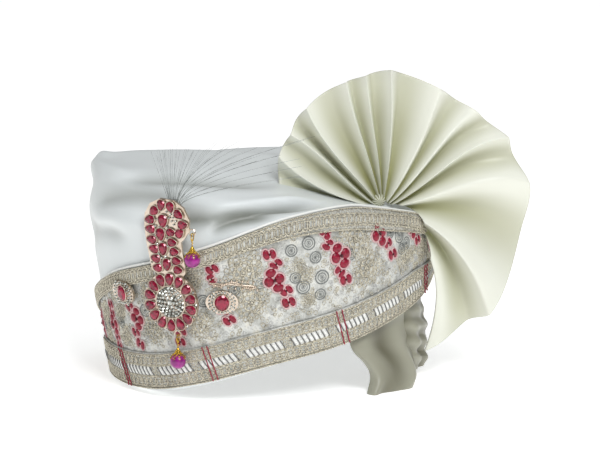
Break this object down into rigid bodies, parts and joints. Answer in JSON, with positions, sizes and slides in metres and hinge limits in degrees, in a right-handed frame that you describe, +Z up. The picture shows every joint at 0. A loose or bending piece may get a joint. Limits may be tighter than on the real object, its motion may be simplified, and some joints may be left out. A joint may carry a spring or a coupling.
{
  "type": "tied turban pagri",
  "caption": "Tied turban with a hollow satin crown, a wide embroidered band, a pleated fan, cloth tails and a jewelled brooch with a plume.",
  "frame": {"origin": "middle of the footprint, on the surface that the rim lies on", "axes": "-Y is the wearer's front, +X the wearer's left, +Z up"},
  "size_m": [0.265, 0.2642, 0.2081],
  "materials": {
    "satin": "satin weave, soft sheen",
    "ivory_satin": "satin weave, pleated",
    "brocade": "silver net with metal thread embroidery",
    "lace": "champagne metal thread lace",
    "red_stone": "foil-backed cut glass",
    "crystal": "clear cut glass on foil",
    "rose_gold": "pale rose-gold plate",
    "gold": "polished gold plate",
    "magenta_bead": "dyed stone bead",
    "filament": "clear nylon filament"
  },
  "bodies": {
    "root": {"crown_cloth": "satin", "brocade_band": "brocade", "upper_border": "lace", "lower_border": "lace", "fan_knot": "ivory_satin", "pleated_fan": "ivory_satin", "front_tail": "ivory_satin", "rear_tail": "ivory_satin", "brooch_setting": "rose_gold", "right_side_setting": "crystal", "left_side_setting": "crystal", "right_oval_stone": "red_stone", "left_oval_stone": "red_stone", "centre_crystals": "crystal", "upper_drop_cap": "gold", "lower_drop_cap": "gold", "upper_drop_bead": "magenta_bead", "lower_drop_bead": "magenta_bead", "plume": "filament", "petal_stone_01": "red_stone", "petal_stone_02": "red_stone", "petal_stone_03": "red_stone", "petal_stone_04": "red_stone", "petal_stone_05": "red_stone", "petal_stone_06": "red_stone", "petal_stone_07": "red_stone", "petal_stone_08": "red_stone", "petal_stone_09": "red_stone", "petal_stone_10": "red_stone", "petal_stone_11": "red_stone", "petal_stone_12": "red_stone", "petal_stone_13": "red_stone", "petal_stone_14": "red_stone", "paisley_stone_01": "red_stone", "paisley_stone_02": "red_stone", "paisley_stone_03": "red_stone", "paisley_stone_04": "red_stone", "paisley_stone_05": "red_stone", "paisley_stone_06": "red_stone", "paisley_stone_07": "red_stone", "paisley_stone_08": "red_stone", "paisley_stone_09": "red_stone", "paisley_stone_10": "red_stone", "paisley_stone_11": "red_stone", "paisley_stone_12": "red_stone", "paisley_stone_13": "red_stone", "paisley_stone_14": "red_stone", "paisley_stone_15": "red_stone", "paisley_stone_16": "red_stone", "paisley_stone_17": "red_stone", "paisley_stone_18": "red_stone", "paisley_stone_19": "red_stone", "paisley_stone_20": "red_stone", "paisley_stone_21": "red_stone"}
  },
  "joints": []
}
